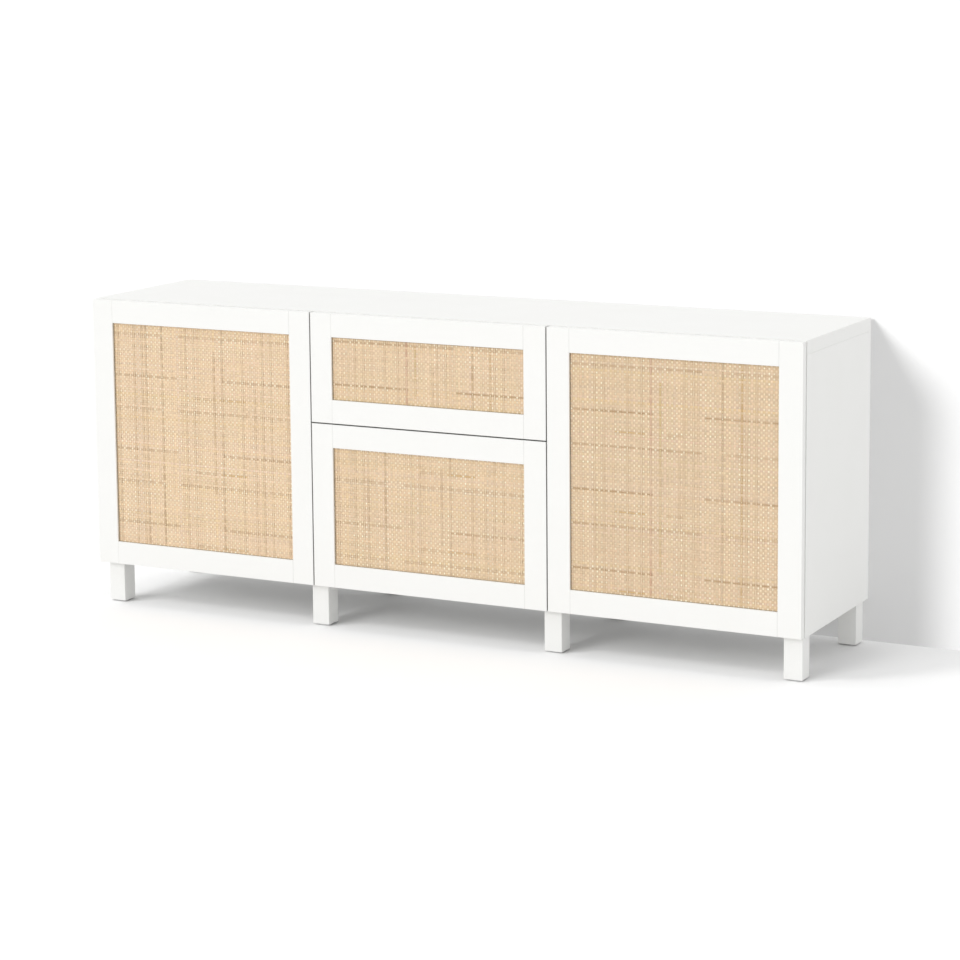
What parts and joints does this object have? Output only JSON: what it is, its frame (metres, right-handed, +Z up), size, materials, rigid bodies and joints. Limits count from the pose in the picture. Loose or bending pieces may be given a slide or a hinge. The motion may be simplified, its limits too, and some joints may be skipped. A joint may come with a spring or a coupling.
{
  "type": "record cabinet",
  "caption": "Long low white record cabinet on short legs, with woven-panel doors at both ends and woven-panel drawers between them, opened by push latches.",
  "frame": {"origin": "middle of the cabinet's footprint, on the floor", "axes": "+X to the right along the cabinet, +Y towards the wall behind it, +Z up; the fronts face -Y"},
  "size_m": [1.8, 0.42, 0.74],
  "materials": {
    "white_lacquer": "satin white lacquer on board and solid wood",
    "woven_fibre": "plain weave of pale straw-coloured paper cord",
    "backing_board": "raw hardboard behind the weave",
    "white_back_board": "white-faced hardboard",
    "drawer_board": "white melamine board",
    "zinc_steel": "zinc-plated sheet steel",
    "grey_plastic": "moulded grey plastic"
  },
  "bodies": {
    "carcass": {"top_board": "white_lacquer", "bottom_board": "white_lacquer", "left_side_panel": "white_lacquer", "right_side_panel": "white_lacquer", "left_divider": "white_lacquer", "right_divider": "white_lacquer", "left_back_panel": "white_back_board", "centre_back_panel": "white_back_board", "right_back_panel": "white_back_board", "left_shelf": "white_lacquer", "right_shelf": "white_lacquer", "shelf_pins": "zinc_steel", "legs": "white_lacquer", "leg_glides": "grey_plastic", "leg_bolts": "zinc_steel", "hinge_plates": "zinc_steel", "hinge_arms": "zinc_steel", "latch_housings": "grey_plastic", "cabinet_slides": "zinc_steel", "wall_brackets": "zinc_steel"},
    "left_door": {"left_door_hinge_stile": "white_lacquer", "left_door_free_stile": "white_lacquer", "left_door_top_rail": "white_lacquer", "left_door_bottom_rail": "white_lacquer", "left_door_woven_panel": "woven_fibre", "left_door_backing": "backing_board", "left_door_hinge_cups": "zinc_steel"},
    "right_door": {"right_door_hinge_stile": "white_lacquer", "right_door_free_stile": "white_lacquer", "right_door_top_rail": "white_lacquer", "right_door_bottom_rail": "white_lacquer", "right_door_woven_panel": "woven_fibre", "right_door_backing": "backing_board", "right_door_hinge_cups": "zinc_steel"},
    "left_links": {"left_hinge_links": "zinc_steel"},
    "right_links": {"right_hinge_links": "zinc_steel"},
    "left_plunger": {"left_door_plunger": "grey_plastic"},
    "right_plunger": {"right_door_plunger": "grey_plastic"},
    "top_drawer": {"top_drawer_stiles": "white_lacquer", "top_drawer_rails": "white_lacquer", "top_drawer_woven_panel": "woven_fibre", "top_drawer_backing": "backing_board", "top_drawer_box_sides": "drawer_board", "top_drawer_box_back": "drawer_board", "top_drawer_inner_front": "drawer_board", "top_drawer_box_bottom": "drawer_board", "top_drawer_slides": "zinc_steel"},
    "bottom_drawer": {"bottom_drawer_stiles": "white_lacquer", "bottom_drawer_rails": "white_lacquer", "bottom_drawer_woven_panel": "woven_fibre", "bottom_drawer_backing": "backing_board", "bottom_drawer_box_sides": "drawer_board", "bottom_drawer_box_back": "drawer_board", "bottom_drawer_inner_front": "drawer_board", "bottom_drawer_box_bottom": "drawer_board", "bottom_drawer_slides": "zinc_steel"},
    "top_middle": {"top_middle_slides": "zinc_steel"},
    "bottom_middle": {"bottom_middle_slides": "zinc_steel"},
    "top_plunger": {"top_drawer_plunger": "grey_plastic"},
    "bottom_plunger": {"bottom_drawer_plunger": "grey_plastic"}
  },
  "joints": [
    {"name": "left_door_swing", "type": "hinge", "parent": "carcass", "child": "left_door", "pos_m": [-0.89125, -0.20225, 0.42], "axis": [0, 0, -1], "range_deg": [0, 95]},
    {"name": "left_links_turn", "type": "hinge", "parent": "carcass", "child": "left_links", "pos_m": [-0.86, -0.186, 0.42], "axis": [0, 0, 1], "range_deg": [0, 23.75]},
    {"name": "left_plunger_push", "type": "slide", "parent": "carcass", "child": "left_plunger", "axis": [0, 1, 0], "range_m": [0, 0.0025], "stiffness_N_per_m": 1000, "springref_m": -0.002},
    {"name": "right_door_swing", "type": "hinge", "parent": "carcass", "child": "right_door", "pos_m": [0.89125, -0.20225, 0.42], "axis": [0, 0, 1], "range_deg": [0, 95]},
    {"name": "right_links_turn", "type": "hinge", "parent": "carcass", "child": "right_links", "pos_m": [0.86, -0.186, 0.42], "axis": [0, 0, -1], "range_deg": [0, 23.75]},
    {"name": "right_plunger_push", "type": "slide", "parent": "carcass", "child": "right_plunger", "axis": [0, 1, 0], "range_m": [0, 0.0025], "stiffness_N_per_m": 1000, "springref_m": -0.002},
    {"name": "top_drawer_slide", "type": "slide", "parent": "carcass", "child": "top_drawer", "axis": [0, -1, 0], "range_m": [0, 0.3]},
    {"name": "top_middle_slide", "type": "slide", "parent": "carcass", "child": "top_middle", "axis": [0, -1, 0], "range_m": [0, 0.15]},
    {"name": "top_plunger_push", "type": "slide", "parent": "carcass", "child": "top_plunger", "axis": [0, 1, 0], "range_m": [0, 0.0025], "stiffness_N_per_m": 1000, "springref_m": -0.002},
    {"name": "bottom_drawer_slide", "type": "slide", "parent": "carcass", "child": "bottom_drawer", "axis": [0, -1, 0], "range_m": [0, 0.3]},
    {"name": "bottom_middle_slide", "type": "slide", "parent": "carcass", "child": "bottom_middle", "axis": [0, -1, 0], "range_m": [0, 0.15]},
    {"name": "bottom_plunger_push", "type": "slide", "parent": "carcass", "child": "bottom_plunger", "axis": [0, 1, 0], "range_m": [0, 0.0025], "stiffness_N_per_m": 1000, "springref_m": -0.002}
  ],
  "couplings": [
    {"joint": "left_links_turn", "follows": "left_door_swing", "ratio": 0.25},
    {"joint": "right_links_turn", "follows": "right_door_swing", "ratio": 0.25},
    {"joint": "top_middle_slide", "follows": "top_drawer_slide", "ratio": 0.5},
    {"joint": "bottom_middle_slide", "follows": "bottom_drawer_slide", "ratio": 0.5}
  ]
}
